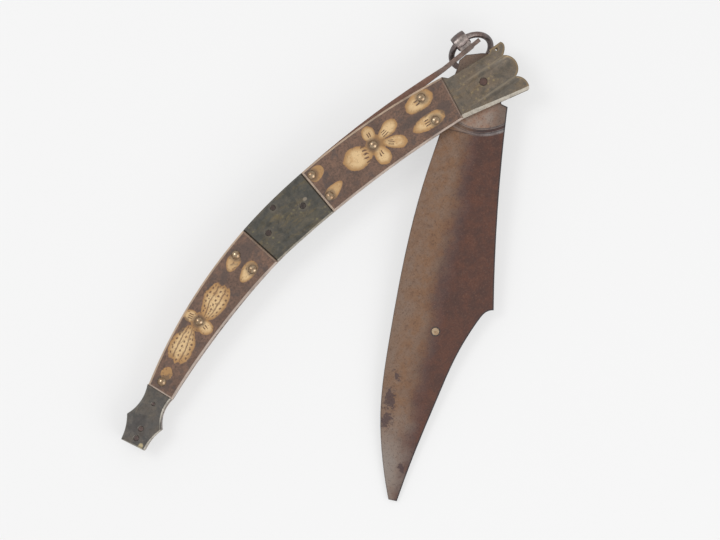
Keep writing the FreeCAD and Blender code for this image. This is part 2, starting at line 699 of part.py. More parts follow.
def ring_lug():
    """A bulging barrel on a foot; its hole is narrow in the middle and worn wide at both mouths."""
    barrel = turned(LUG_RADIUS, LUG_END_RADIUS)
    hole = turned(RING_WIRE_RADIUS + RING_PLAY, LUG_MOUTH_RADIUS)
    half_length = LUG_FOOT_LENGTH / 2
    low = SPRING_NOSE_THICKNESS
    high = SPRING_NOSE_THICKNESS + LUG_EYE_HEIGHT
    corners = [
        nose_at(LUG_PLACE - half_length, low),
        nose_at(LUG_PLACE + half_length, low),
        nose_at(LUG_PLACE + half_length, high),
        nose_at(LUG_PLACE - half_length, high),
    ]
    foot = polygon_plate(corners, MID_Z - LUG_FOOT_WIDTH / 2, LUG_FOOT_WIDTH)
    tenon_base = nose_at(LUG_PLACE, 0) + UP * MID_Z
    tenon = Part.makeCylinder(LUG_TENON_RADIUS, high, tenon_base, NOSE_UP)
    return barrel.fuse([foot, tenon]).removeSplitter().cut(hole)


def pull_ring():
    """A ring through the eye, hanging down behind the head and askew in its loose hole."""
    tilt = math.radians(RING_TILT)
    skew = math.radians(RING_SKEW)
    slide = math.radians(RING_SLIDE)
    down = NOSE_UP * -math.cos(tilt) - UP * math.sin(tilt)
    square = NOSE_WAY.cross(down)
    normal = square * math.cos(skew) + NOSE_WAY * math.sin(skew)
    wire_way = NOSE_WAY * math.cos(skew) - square * math.sin(skew)
    to_centre = down * math.cos(slide) + wire_way * math.sin(slide)
    centre = LUG_EYE + to_centre * RING_MEAN_RADIUS
    return Part.makeTorus(RING_MEAN_RADIUS, RING_WIRE_RADIUS, centre, normal)


def main():
    front = {
        "liner": liner(),
        "head_bolster": head_bolster(),
        "middle_bolster": middle_bolster(),
        "tail_bolster": tail_bolster(),
        "upper_scale": scale(
            HALF_MIDDLE, UPPER_SEAM_LEAN, HEAD_SEAM_X, HEAD_SEAM_LEAN, UPPER_PIN_PLACES
        ),
        "lower_scale": scale(
            TAIL_SEAM_X, TAIL_SEAM_LEAN, -HALF_MIDDLE, LOWER_SEAM_LEAN, LOWER_PIN_PLACES
        ),
        "upper_pins": group([domed_pin(place) for place in UPPER_PIN_PLACES]),
        "lower_pins": group([domed_pin(place) for place in LOWER_PIN_PLACES]),
        "middle_rivets": middle_rivets(),
    }
    pieces = {
        "blade": blade(),
        "blade_plug": blade_plug(),
        "back_spring": back_spring(),
        "ring_lug": ring_lug(),
        "pull_ring": pull_ring(),
        "pivot_pin": through_pin(PIVOT, PIVOT_PIN_RADIUS, MIDDLE_FLUTE_DEPTH / 2),
        "spring_pin": through_pin(SPRING_PIN_PLACE, SPRING_PIN_RADIUS),
        "tail_rivets": tail_rivets(),
    }
    for name, solid in front.items():
        pieces["front_" + name] = solid
        pieces["rear_" + name] = to_rear(solid)
    os.makedirs("parts", exist_ok=True)
    for name, solid in pieces.items():
        solid.exportStep(os.path.join("parts", name + ".step"))
        print(name, len(solid.Solids), round(solid.Volume, 2), solid.isValid())


main()
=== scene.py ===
import functools
import json
import math

import bmesh
import bpy
from mathutils import Matrix, Vector


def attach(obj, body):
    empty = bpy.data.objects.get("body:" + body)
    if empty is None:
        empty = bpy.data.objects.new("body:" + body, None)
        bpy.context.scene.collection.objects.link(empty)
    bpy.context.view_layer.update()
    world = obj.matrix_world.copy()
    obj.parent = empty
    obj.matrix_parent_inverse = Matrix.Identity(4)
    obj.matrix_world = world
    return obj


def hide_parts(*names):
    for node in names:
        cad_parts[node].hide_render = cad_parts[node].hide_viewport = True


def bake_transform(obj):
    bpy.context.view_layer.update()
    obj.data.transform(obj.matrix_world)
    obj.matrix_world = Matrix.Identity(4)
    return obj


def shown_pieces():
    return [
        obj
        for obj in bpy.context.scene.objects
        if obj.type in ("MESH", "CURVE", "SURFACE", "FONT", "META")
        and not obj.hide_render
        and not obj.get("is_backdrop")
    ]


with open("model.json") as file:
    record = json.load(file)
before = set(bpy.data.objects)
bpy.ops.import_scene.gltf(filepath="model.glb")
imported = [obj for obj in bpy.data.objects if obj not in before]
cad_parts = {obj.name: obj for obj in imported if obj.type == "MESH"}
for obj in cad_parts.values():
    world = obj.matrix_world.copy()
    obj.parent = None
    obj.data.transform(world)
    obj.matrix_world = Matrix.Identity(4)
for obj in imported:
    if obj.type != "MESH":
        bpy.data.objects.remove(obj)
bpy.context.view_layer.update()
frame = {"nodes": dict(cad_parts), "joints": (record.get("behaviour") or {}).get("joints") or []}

bl_info = {
    "name": "Ring-lock folding knife",
    "version": (1, 0, 0),
    "blender": (4, 5, 0),
    "location": "3D View > Sidebar > Knife",
    "description": "Dresses the folding knife: worn brass, stained bone, rusted blade and iron ring",
    "category": "Object",
}

MM = 0.001
NODES = frame["nodes"]
JOINTS = {joint["name"]: joint for joint in frame["joints"]}
PIVOT = Vector(JOINTS["blade_pivot"]["pos_m"])

# Making of the worn copies: points closer than this are one, and angles in degrees up to which facets are
# flat, past which an edge is rounded, and past which it is shaded sharp
MERGE_DISTANCE = 0.002 * MM
FLAT_ANGLE = 0.6
SHARP_ANGLE = 28.0
SMOOTH_ANGLE = 42.0
ROUNDING_STEPS = 2

# Width of the rounding on the small pieces' edges
LINER_ROUNDING = 0.28 * MM
RIVET_ROUNDING = 0.15 * MM
BLADE_ROUNDING = 0.14 * MM
PLUG_ROUNDING = 0.10 * MM
SPRING_ROUNDING = 0.20 * MM
EYE_ROUNDING = 0.22 * MM

# The handle's mouth edge along its lower half, in millimetres: where it starts and ends, the parabola that
# it follows, how far inside it a point still counts as edge, and how far bone and liner are drawn out there
LOWER_START = -13.0
LOWER_END = -96.0
MOUTH_CREST = (-20.0, -10.15)
MOUTH_BEND = 0.00224
EDGE_REACH = 1.5
BONE_FULLNESS = 1.4
LINER_FULLNESS = 1.8

# Scraped petals: centre x and y, half length and half width in millimetres, outward turn in degrees, how
# far the outer end draws in, or spreads where it is below nought, stain left in the middle, and the dark
# cuts: how many, and where they start and stop along the petal
PETALS = (
    (38.4, -2.1, 6.4, 4.9, 164, -0.10, 0.0, (5, -0.78, -0.46)),
    (48.4, 2.0, 3.4, 2.8, 75, -0.10, 0.66, (2, -0.4, 0.15)),
    (55.6, -1.85, 5.3, 2.75, 5, -0.26, 0.0, (3, -0.62, -0.16)),
    (54.5, -7.8, 5.2, 2.7, -39, -0.26, 0.0, (3, -0.60, -0.14)),
    (46.9, -8.2, 4.5, 3.3, -100, -0.22, 0.0, (2, -0.4, 0.0)),
    (47.6, -3.2, 4.6, 4.0, 0, 0.0, 0.975, None),
    (73.0, -2.5, 6.8, 3.9, 176, 0.12, 0.5, (2, 0.0, 0.22)),
    (70.4, -11.6, 7.9, 3.2, 169, 0.12, 0.45, (3, -0.04, 0.18)),
    (21.4, 5.4, 3.9, 2.9, 6, 0.1, 0.90, None),
    (22.0, -4.9, 4.9, 2.5, 7, 0.32, 0.72, None),
    (-29.7, 2.4, 4.1, 2.8, -161, 0.25, 0.66, None),
    (-27.6, -4.8, 5.3, 2.9, -169, 0.25, 0.5, None),
    (-57.6, -1.7, 3.3, 2.6, 114, -0.10, 0.62, (3, -0.3, 0.25)),
    (-56.5, -9.1, 3.5, 3.1, -93, -0.10, 0.3, (2, -0.25, 0.1)),
    (-56.9, -5.8, 4.4, 3.4, 20, 0.0, 0.975, None),
    (-81.6, -11.9, 2.8, 2.5, 20, 0.0, 0.92, None),
)

# The two big leaves with veins and dots, in the same order without the cuts
LEAVES = (
    (-46.7, -4.3, 8.6, 5.1, 17, -0.30, 0.30),
    (-68.0, -7.7, 8.6, 5.0, -158, -0.30, 0.30),
)

# Cuts: distance between two as a share of the petal's half width, and the fade at their sides and ends
CUT_SPACING = 0.34
CUT_SIDE_FADE = 0.03
CUT_END_FADE = 0.08

# Veins and dots of a leaf: half waves across half its width, and the dots' wave in radians along half its
# length
LEAF_WAVES = 1.5
LEAF_DOTS = 13.0

# Handling dirt on the bone: centre x and y, half sizes in millimetres, and turn, and its reach round a pin
DIRT_MARKS = (
    (-24.0, 2.6, 7.0, 4.0, 5),
    (-36.0, 1.0, 4.0, 2.0, 30),
    (-62.5, -2.2, 3.5, 1.6, 20),
    (-84.6, -14.0, 4.0, 3.0, 0),
    (66.0, -6.6, 8.0, 2.2, -8),
    (79.0, -12.0, 3.0, 3.5, 0),
)
PIN_DIRT = 3.3

# The blade's own frame: its turn in degrees, then in millimetres from the pivot the end of the pale root,
# the two rings cut round it, and the stretch over which the point pales
BLADE_TURN = 214.1
ROOT_END = (19.3, 20.3)
INNER_RING = 19.7
OUTER_RING = 21.9
POINT_STRETCH = (136.0, 166.0)

# Dark pits near the blade's edge and point: centre x and y, half sizes in millimetres, and turn
BLADE_PITS = (
    (-21.6, -84.4, 4.6, 2.2, 40),
    (-29.2, -89.9, 3.4, 2.0, 10),
    (-38.2, -108.5, 2.0, 0.9, 60),
    (-12.6, -79.0, 2.2, 0.9, 70),
)

# Rubbed and darkened spots on the brass: centre x and y, half sizes in millimetres, turn, strength,
# share of the rubbed brass's brightness and share of its blue
PLATE_SPOTS = (
    (10.6, 0.9, 1.0, 0.8, 0, 0.6, 0.62, 0.8),
    (6.0, -6.4, 8.0, 1.4, -4, 0.16, 0.35, 0.6),
    (-6.0, 6.2, 7.0, 1.2, 8, 0.14, 0.35, 0.55),
)
# Painted highlights and painted shade along the head's ridges, in the same columns
RIDGE_HIGHLIGHTS_AND_SHADES = (
    (104.4, -11.9, 15.0, 0.5, -9.6, 0.42, 0.55, 0.76),
    (104.0, -13.2, 14.0, 0.7, -9.6, 0.35, 0.10, 0.8),
    (102.6, -21.6, 15.0, 0.5, -9.6, 0.42, 0.55, 0.76),
    (102.2, -22.9, 14.0, 0.7, -9.6, 0.35, 0.10, 0.8),
)
TAIL_SPOTS = (
    (-110.8, -26.4, 1.7, 1.1, 20, 1.0, 0.8, 0.62),
    (-105.0, -19.5, 5.0, 4.0, 30, 0.35, 0.12, 1.0),
)
# The same without the centre, round each rivet of the middle plate
RIVET_HALO = (2.3, 2.3, 0, 0.2, 0.42, 0.85)

# Turns of the fine scratches in the brass, and how many times longer than wide they are
SCRATCH_TURNS = (27.0, -48.0, 74.0)
SCRATCH_STRETCH = 16.0

# Painted golden highlight on the rims of the head's lobes: x where it begins to show, the stretch over
# which it does, and width
RIM_HIGHLIGHT_START = 103 * MM
RIM_HIGHLIGHT_STRETCH = 7 * MM
RIM_HIGHLIGHT_WIDTH = 1.1 * MM

# Red rust on the spring's leaf: x of its end, and the stretch over which it fades
LEAF_RUST_END = 90 * MM
LEAF_RUST_FADE = 6 * MM

# Depth of the finishes' relief
BONE_RELIEF = 0.06 * MM
IRON_RELIEF = 0.06 * MM
STEEL_RELIEF = 0.05 * MM
BRASS_RELIEF = 0.05 * MM

# Openness of the surface's inner side at the rim and past it, and the rays that measure it
RIM_OPENNESS = (0.66, 0.99)
RIM_RAYS = 16

# Stage: the white that camera and reflections see in the table besides its lit colour, half the table's
# width in metres, the sky's strength, and the camera's sensor in millimetres and range in metres
TABLE_GLOW = 0.575
TABLE_REACH = 3.0
SKY_STRENGTH = 0.70
SENSOR_WIDTH = 36.0
CAMERA_RANGE = 20.0


class KnifeLooks(bpy.types.PropertyGroup):
    """Sizes and colours of the dressed knife."""

    edge_rounding: bpy.props.FloatProperty(
        name="Edge rounding",
        description="Width of the worn rounding on brass and steel edges",
        default=0.28 * MM,
        unit="LENGTH",
    )
    bone_rounding: bpy.props.FloatProperty(
        name="Bone rounding",
        description="Width of the rubbed rounding on the bone plates' edges",
        default=0.62 * MM,
        unit="LENGTH",
    )
    bone_brown: bpy.props.FloatVectorProperty(
        name="Bone stain",
        description="Brown of the stained bone",
        default=(0.120, 0.069, 0.048),
        size=3,
        subtype="COLOR",
    )
    bone_cream: bpy.props.FloatVectorProperty(
        name="Scraped bone",
        description="Cream of the scraped petals",
        default=(0.67, 0.465, 0.24),
        size=3,
        subtype="COLOR",
    )
    # Rubbed bone on the plates' edges, also the colour of a painted highlight there
    bone_edge_and_highlight: bpy.props.FloatVectorProperty(
        name="Bone edge",
        description="Rubbed bone along the plates' edges",
        default=(0.50, 0.38, 0.29),
        size=3,
        subtype="COLOR",
    )
    blade_rust: bpy.props.FloatVectorProperty(
        name="Blade rust",
        description="Red-brown of the blade along its spine",
        default=(0.089, 0.041, 0.031),
        size=3,
        subtype="COLOR",
    )
    blade_grey: bpy.props.FloatVectorProperty(
        name="Blade grey",
        description="Rubbed grey-brown of the blade towards its edge",
        default=(0.206, 0.134, 0.094),
        size=3,
        subtype="COLOR",
    )
    blade_bright: bpy.props.FloatVectorProperty(
        name="Blade ricasso",
        description="Paler steel by the pivot and at the point",
        default=(0.32, 0.25, 0.205),
        size=3,
        subtype="COLOR",
    )
    brass_dark: bpy.props.FloatVectorProperty(
        name="Dark brass",
        description="Patina of the brass end plates",
        default=(0.098, 0.085, 0.066),
        size=3,
        subtype="COLOR",
    )
    # Rubbed brass, also the colour of the painted highlights along the mouth and on the head's ridges
    brass_worn_and_highlight: bpy.props.FloatVectorProperty(
        name="Rubbed brass",
        description="Brass showing on worn edges",
        default=(0.58, 0.53, 0.45),
        size=3,
        subtype="COLOR",
    )
    pin_brass: bpy.props.FloatVectorProperty(
        name="Pin brass",
        description="Rubbed brass of the domed pins and the blade's plug",
        default=(0.44, 0.335, 0.225),
        size=3,
        subtype="COLOR",
    )
    iron_dark: bpy.props.FloatVectorProperty(
        name="Dark iron",
        description="Brown-grey of the spring, eye and ring",
        default=(0.148, 0.118, 0.110),
        size=3,
        subtype="COLOR",
    )
    # Iron rubbed bare, also the colour of the painted highlights on edges and level tops
    iron_worn_and_highlight: bpy.props.FloatVectorProperty(
        name="Rubbed iron",
        description="Iron rubbed bare by handling",
        default=(0.36, 0.31, 0.28),
        size=3,
        subtype="COLOR",
    )
    floor_colour: bpy.props.FloatVectorProperty(
        name="Floor",
        description="Pale table under the knife",
        default=(0.31, 0.31, 0.31),
        size=3,
        subtype="COLOR",
    )
    camera_height: bpy.props.FloatProperty(
        name="Camera height",
        description="Distance of the camera above the knife",
        default=1.2,
        unit="LENGTH",
    )


def looks():
    """The scene's own sizes and colours."""
    return bpy.context.scene.knife_looks


def toned(colour, share):
    """A colour made darker or lighter."""
    return [part * share for part in colour]


def tinted(colour, red, green, blue):
    """A colour with a share of each of its parts."""
    return [colour[0] * red, colour[1] * green, colour[2] * blue]


class Finish:
    """A material that is built up node by node on the piece's own coordinates."""

    def __init__(self, name):
        self.material = bpy.data.materials.new(name)
        self.material.use_nodes = True
        self.tree = self.material.node_tree
        self.shader = self.tree.nodes["Principled BSDF"]
        coordinates = self.tree.nodes.new("ShaderNodeTexCoord")
        self.place = coordinates.outputs["Object"]
        self.normal = coordinates.outputs["Normal"]

    def feed(self, socket, value):
        """Link another node's output to a socket, or set the socket to a number or colour."""
        if isinstance(value, bpy.types.NodeSocket):
            self.tree.links.new(value, socket)
        elif isinstance(value, (int, float)):
            socket.default_value = value
        else:
            values = tuple(value)
            if len(socket.default_value) == 4 and len(values) == 3:
                values += (1.0,)
            socket.default_value = values

    def add(self, kind, inputs, **settings):
        """A new node with its settings and inputs."""
        node = self.tree.nodes.new(kind)
        for key, value in settings.items():
            setattr(node, key, value)
        for key, value in inputs.items():
            self.feed(node.inputs[key], value)
        return node

    def math(self, operation, first, second=0.0):
        return self.add("ShaderNodeMath", {0: first, 1: second}, operation=operation).outputs[0]

    def plus(self, first, second):
        return self.math("ADD", first, second)

    def minus(self, first, second):
        return self.math("SUBTRACT", first, second)

    def times(self, first, second):
        return self.math("MULTIPLY", first, second)

    def larger(self, first, second):
        return self.math("MAXIMUM", first, second)

    def smaller(self, first, second):
        return self.math("MINIMUM", first, second)

    def size(self, value):
        return self.math("ABSOLUTE", value)

    def length(self, along, across):
        flat = self.add("ShaderNodeCombineXYZ", {0: along, 1: across}).outputs[0]
        return self.add("ShaderNodeVectorMath", {0: flat}, operation="LENGTH").outputs[1]

    def span(self, value, low, high, start=0.0, end=1.0):
        """A value mapped from low..high to start..end, held at both ends."""
        inputs = {0: value, 1: low, 2: high, 3: start, 4: end}
        return self.add("ShaderNodeMapRange", inputs, interpolation_type="SMOOTHSTEP").outputs[0]

    def mix(self, share, first, second):
        """The first colour with a share of the second."""
        inputs = {0: share, 6: first, 7: second}
        return self.add("ShaderNodeMix", inputs, data_type="RGBA").outputs[2]

    def noise(self, size, detail=4.0, roughness=0.6, place=None):
        """Noise whose marks are about size across, in metres."""
        inputs = {"Vector": place or self.place, "Scale": 1 / size}
        inputs.update({"Detail": detail, "Roughness": roughness})
        return self.add("ShaderNodeTexNoise", inputs).outputs[0]

    def sway(self, noise, amount, middle=0.5):
        """Noise moved to lie round nought and made larger or smaller."""
        return self.times(self.minus(noise, middle), amount)

    def cells(self, size):
        """Distance from the middles of cells that are about size across, in metres."""
        inputs = {"Vector": self.place, "Scale": 1 / size}
        return self.add("ShaderNodeTexVoronoi", inputs).outputs[0]

    def mapped(self, location=(0, 0, 0), turn=0.0, scale=(1, 1, 1)):
        """Coordinates measured from a place, turned and divided by a scale."""
        inputs = {
            "Vector": self.place,
            "Location": location,
            "Rotation": (0, 0, math.radians(turn)),
            "Scale": scale,
        }
        return self.add("ShaderNodeMapping", inputs, vector_type="TEXTURE").outputs[0]

    def split(self, vector):
        return self.add("ShaderNodeSeparateXYZ", {0: vector}).outputs

    def oval(self, x, y, length, width, turn):
        """Along and across an oval as shares of its half sizes."""
        local = self.mapped((x * MM, y * MM, 0), turn, (length * MM, width * MM, 1.0))
        along, across, _ = self.split(local)
        return along, across

    def spot(self, mark, wobble):
        """One inside a soft-edged oval mark, nought outside it."""
        reach = self.length(*self.oval(*mark))
        return self.span(self.plus(reach, wobble), 0.6, 1.1, 1.0, 0.0)

    def rounded_edges(self):
        """One on the roundings of a worn copy."""
        return self.add("ShaderNodeAttribute", {}, attribute_name="worn_edge").outputs["Fac"]

    def facing(self):
        """How level the surface lies: one on the flat faces, nought on the walls."""
        return self.size(self.split(self.normal)[2])

    def rim(self, width, share):
        """Share along the piece's outline, fading out within a width of its edges."""
        settings = {"inside": True, "only_local": True, "samples": RIM_RAYS}
        node = self.add("ShaderNodeAmbientOcclusion", {"Distance": width}, **settings)
        return self.span(node.outputs["AO"], *RIM_OPENNESS, share, 0.0)

    def bump(self, height, depth):
        """Relief in the shader's normal, as deep as depth for a height of one."""
        node = self.add("ShaderNodeBump", {"Height": height, "Distance": depth, "Strength": 1.0})
        self.feed(self.shader.inputs["Normal"], node.outputs[0])

    def surface(self, colour, roughness, metallic):
        """Feed the shader and hand over the finished material."""
        self.feed(self.shader.inputs["Base Color"], colour)
        self.feed(self.shader.inputs["Roughness"], roughness)
        self.shader.inputs["Metallic"].default_value = metallic
        return self.material


def petal_place(finish, x, y, length, width, turn, point, wobble):
    """Along and across one petal, and the distance from its middle as a share of its outline."""
    along, across = finish.oval(x, y, length, width, turn)
    across = finish.math("DIVIDE", across, finish.minus(1.0, finish.times(along, point)))
    square = finish.plus(finish.times(along, along), finish.times(across, across))
    return along, across, finish.plus(finish.math("SQRT", square), wobble)


def cut_marks(finish, along, across, cuts, wobble, ragged):
    """Share of the dark cuts that lie side by side in a petal."""
    count, start, stop = cuts
    phase = finish.times(finish.plus(across, wobble), math.pi / CUT_SPACING)
    wave = finish.math("COSINE" if count % 2 else "SINE", phase)
    lines = finish.span(finish.size(wave), 0.66, 0.86)
    limit = CUT_SPACING * count / 2
    near = finish.span(finish.size(across), limit - CUT_SIDE_FADE, limit + CUT_SIDE_FADE, 1.0, 0.0)
    stroke = finish.plus(along, ragged)
    started = finish.span(stroke, start, start + CUT_END_FADE)
    stopped = finish.span(stroke, stop, stop + CUT_END_FADE, 1.0, 0.0)
    return finish.times(finish.times(lines, near), finish.times(started, stopped))


def leaf_marks(finish, along, across, reach, wobble):
    """A big leaf's reach with a scalloped outer end, and share of its two veins and its dots."""
    square = finish.times(along, along)
    waist = finish.math("SQRT", finish.minus(1.08, finish.times(square, 0.8)))
    spread = finish.plus(finish.math("DIVIDE", across, waist), wobble)
    ripple = finish.size(finish.math("SINE", finish.times(spread, LEAF_WAVES * math.pi)))
    scallop = finish.times(finish.span(ripple, 0.2, 1.0, -0.04, 0.04), finish.span(along, 0.1, 0.7))
    reach = finish.plus(reach, scallop)
    veins = finish.times(finish.span(ripple, 0.93, 0.98), 0.72)
    beat = finish.size(finish.math("SINE", finish.times(along, LEAF_DOTS)))
    dots = finish.times(finish.span(ripple, 0.14, 0.44, 1.0, 0.0), finish.span(beat, 0.66, 0.86))
    inside = finish.span(reach, 0.84, 0.95, 1.0, 0.0)
    return reach, finish.times(finish.larger(veins, dots), inside)


def scraped_ornament(finish, wobble):
    """Distance from the nearest petal's middle as a share of its outline, and share of dark cuts."""
    ragged = finish.sway(finish.noise(1.2 * MM, detail=2.0), 0.45)
    reaches = []
    cuts = []
    for *outline, stained, petal_cuts in PETALS:
        along, across, reach = petal_place(finish, *outline, wobble)
        reaches.append(finish.larger(reach, stained))
        if petal_cuts:
            cuts.append(cut_marks(finish, along, across, petal_cuts, wobble, ragged))
    for *outline, stained in LEAVES:
        along, across, reach = petal_place(finish, *outline, wobble)
        reach, marks = leaf_marks(finish, along, across, reach, wobble)
        reaches.append(finish.larger(reach, stained))
        cuts.append(marks)
    return functools.reduce(finish.smaller, reaches), functools.reduce(finish.larger, cuts)


def pin_places(node):
    """Middle of each separate pin in a group."""
    shape = bmesh.new()
    shape.from_mesh(NODES[node].data)
    bmesh.ops.remove_doubles(shape, verts=shape.verts, dist=MERGE_DISTANCE)
    places = []
    reached = set()
    for first in shape.verts:
        if first in reached:
            continue
        reached.add(first)
        pin = [first]
        for vert in pin:
            others = [edge.other_vert(vert) for edge in vert.link_edges]
            fresh = [other for other in others if other not in reached]
            reached.update(fresh)
            pin.extend(fresh)
        places.append(sum((vert.co for vert in pin), Vector()) / len(pin))
    shape.free()
    return places


def bone_dirt(finish, smudge, wobble):
    """Share of the handling dirt, in marks and round the pins."""
    spread = finish.sway(smudge, 3.0)
    marks = [finish.spot(mark, spread) for mark in DIRT_MARKS]
    spread = finish.times(wobble, 1.5)
    for place in pin_places("front_upper_pins") + pin_places("front_lower_pins"):
        mark = (place.x / MM, place.y / MM, PIN_DIRT, PIN_DIRT, 0)
        marks.append(finish.spot(mark, spread))
    return functools.reduce(finish.larger, marks)


def bone_finish():
    """Brown stained bone with scraped cream petals, dark cuts, dirt round the pins and rubbed edges with a
    painted highlight.
    """
    finish = Finish("stained_bone")
    brown = looks().bone_brown
    cream = looks().bone_cream
    edge = looks().bone_edge_and_highlight
    tan = tinted(cream, 0.50, 0.38, 0.26)
    mottle = finish.noise(9 * MM, detail=5.0, roughness=0.65)
    fibre = finish.noise(0.7 * MM, detail=3.0, place=finish.mapped(scale=(9.0, 1.0, 1.0)))
    grain = finish.noise(0.8 * MM, roughness=0.8)
    smudge = finish.noise(5 * MM, roughness=0.7)
    wobble = finish.sway(finish.noise(3.5 * MM, detail=2.0), 0.34)
    reach, cut = scraped_ornament(finish, wobble)
    scraped = finish.span(reach, 0.95, 1.03, 1.0, 0.0)

    # Stain: mottled and fibrous, with dark and light grain and bluish smudges
    stain = finish.mix(finish.span(mottle, 0.35, 0.7), brown, tinted(brown, 1.5, 1.45, 1.35))
    stain = finish.mix(finish.span(fibre, 0.5, 0.78, 0.0, 0.4), stain, toned(brown, 1.8))
    stain = finish.mix(finish.span(grain, 0.48, 0.64, 0.0, 0.8), stain, toned(brown, 0.5))
    stain = finish.mix(finish.span(grain, 0.34, 0.46, 0.5, 0.0), stain, tinted(brown, 2.1, 1.9, 1.7))
    stain = finish.mix(finish.span(smudge, 0.50, 0.66, 0.0, 0.6), stain, tinted(brown, 0.55, 0.72, 0.95))

    # Scraped bone: tan towards the petals' outlines, fibrous, and more stippled on the lower plate
    pale = finish.mix(finish.span(reach, 0.45, 1.02), cream, tan)
    pale = finish.mix(finish.span(fibre, 0.5, 0.8, 0.0, 0.35), pale, toned(cream, 0.62))
    pale = finish.mix(finish.span(grain, 0.54, 0.72, 0.0, 0.6), pale, tan)
    pale = finish.mix(finish.span(smudge, 0.46, 0.64, 0.0, 0.55), pale, toned(tan, 1.25))
    to_tail = finish.span(finish.split(finish.place)[0], -20 * MM, -16 * MM, 0.85, 0.3)
    stipple = finish.times(finish.span(finish.noise(0.9 * MM, detail=1.5), 0.60, 0.68), to_tail)
    pale = finish.mix(stipple, pale, tinted(brown, 1.0, 0.8, 0.6))

    # The ornament on the stain, with its cuts and the dirt over both
    colour = finish.mix(scraped, stain, pale)
    cut_share = finish.times(cut, finish.span(grain, 0.25, 0.5, 0.55, 1.0))
    colour = finish.mix(cut_share, colour, tinted(brown, 1.1, 0.95, 0.7))
    dirt = finish.times(bone_dirt(finish, smudge, wobble), 0.6)
    colour = finish.mix(dirt, colour, tinted(brown, 0.55, 0.68, 0.85))

    # Rubbed edges, partly a painted highlight: greyer and brighter along the mouth, weaker on the end that
    # faces the head
    normal_x, normal_y, _ = finish.split(finish.normal)
    slope = finish.span(finish.facing(), 0.60, 0.95, 1.0, 0.0)
    rub_and_highlight = finish.times(slope, finish.span(mottle, 0.25, 0.55, 0.5, 1.0))
    rub_and_highlight = finish.times(rub_and_highlight, finish.span(normal_x, 0.3, 0.6, 1.0, 0.35))
    mouth_edge_highlight = tinted(edge, 1.3, 1.42, 1.6)
    back_edge_highlight = tinted(edge, 1.3, 1.28, 1.2)
    rubbed = finish.mix(finish.span(normal_y, -0.3, 0.3), mouth_edge_highlight, back_edge_highlight)
    rubbed = finish.mix(finish.span(fibre, 0.4, 0.7, 0.0, 0.5), rubbed, toned(edge, 0.7))
    colour = finish.mix(rub_and_highlight, colour, rubbed)

    relief = finish.minus(finish.times(fibre, 0.35), scraped)
    relief = finish.minus(relief, finish.times(cut, 0.8))
    finish.bump(finish.plus(relief, finish.times(grain, 0.2)), BONE_RELIEF)
    return finish.surface(colour, roughness=finish.span(mottle, 0.3, 0.7, 0.40, 0.56), metallic=0.0)


def blade_edge_colour(finish, along, inward, mottle):
    """Rubbed grey-brown steel with a paler strip along the edge and fine light and dark marks."""
    grey = looks().blade_grey
    fine = finish.noise(2.2 * MM, detail=5.0, roughness=0.75)
    strip = finish.span(inward, 7.0, 15.0, 0.0, 0.5)
    strip = finish.times(strip, finish.span(along, 50.0, 120.0, 0.35, 1.0))
    colour = finish.mix(finish.span(mottle, 0.36, 0.62, 0.1, 0.75), grey, tinted(grey, 1.08, 0.84, 0.58))
    colour = finish.mix(strip, colour, tinted(grey, 1.02, 1.14, 1.24))
    colour = finish.mix(finish.span(fine, 0.42, 0.30, 0.0, 0.6), colour, toned(grey, 1.3))
    return finish.mix(finish.span(fine, 0.50, 0.68, 0.0, 0.65), colour, tinted(grey, 0.72, 0.62, 0.55))


def blade_root(finish, colour, along, across, to_edge, mottle):
    """Lay the pale root, the two rings round it and the grey tang over the blade's colour."""
    bright = looks().blade_bright
    from_pivot = finish.length(along, across)
    root = finish.times(finish.span(from_pivot, *ROOT_END, 0.9, 0.0), finish.span(along, 2.0, 9.0))
    pale = finish.mix(finish.span(mottle, 0.36, 0.6), bright, tinted(bright, 0.95, 0.72, 0.6))
    pale = finish.mix(finish.span(across, 4.0, 11.0, 0.0, 0.75), pale, toned(bright, 0.42))
    pale = finish.mix(finish.span(to_edge, 4.0, 9.0, 0.0, 0.45), pale, toned(bright, 0.6))
    colour = finish.mix(root, colour, pale)
    inner = finish.span(finish.size(finish.minus(from_pivot, INNER_RING)), 0.25, 0.6, 0.55, 0.0)
    outer = finish.span(finish.size(finish.minus(from_pivot, OUTER_RING)), 0.4, 1.1, 1.0, 0.0)
    outer = finish.times(outer, finish.span(across, -4.0, 9.0, 0.45, 1.0))
    rings = finish.times(finish.larger(inner, outer), finish.span(mottle, 0.36, 0.58, 0.35, 0.9))
    colour = finish.mix(rings, colour, tinted(bright, 0.78, 0.92, 1.1))
    tang = finish.span(along, 0.0, 8.0, 0.6, 0.0)
    return finish.mix(tang, colour, tinted(looks().blade_grey, 0.80, 0.95, 1.10))


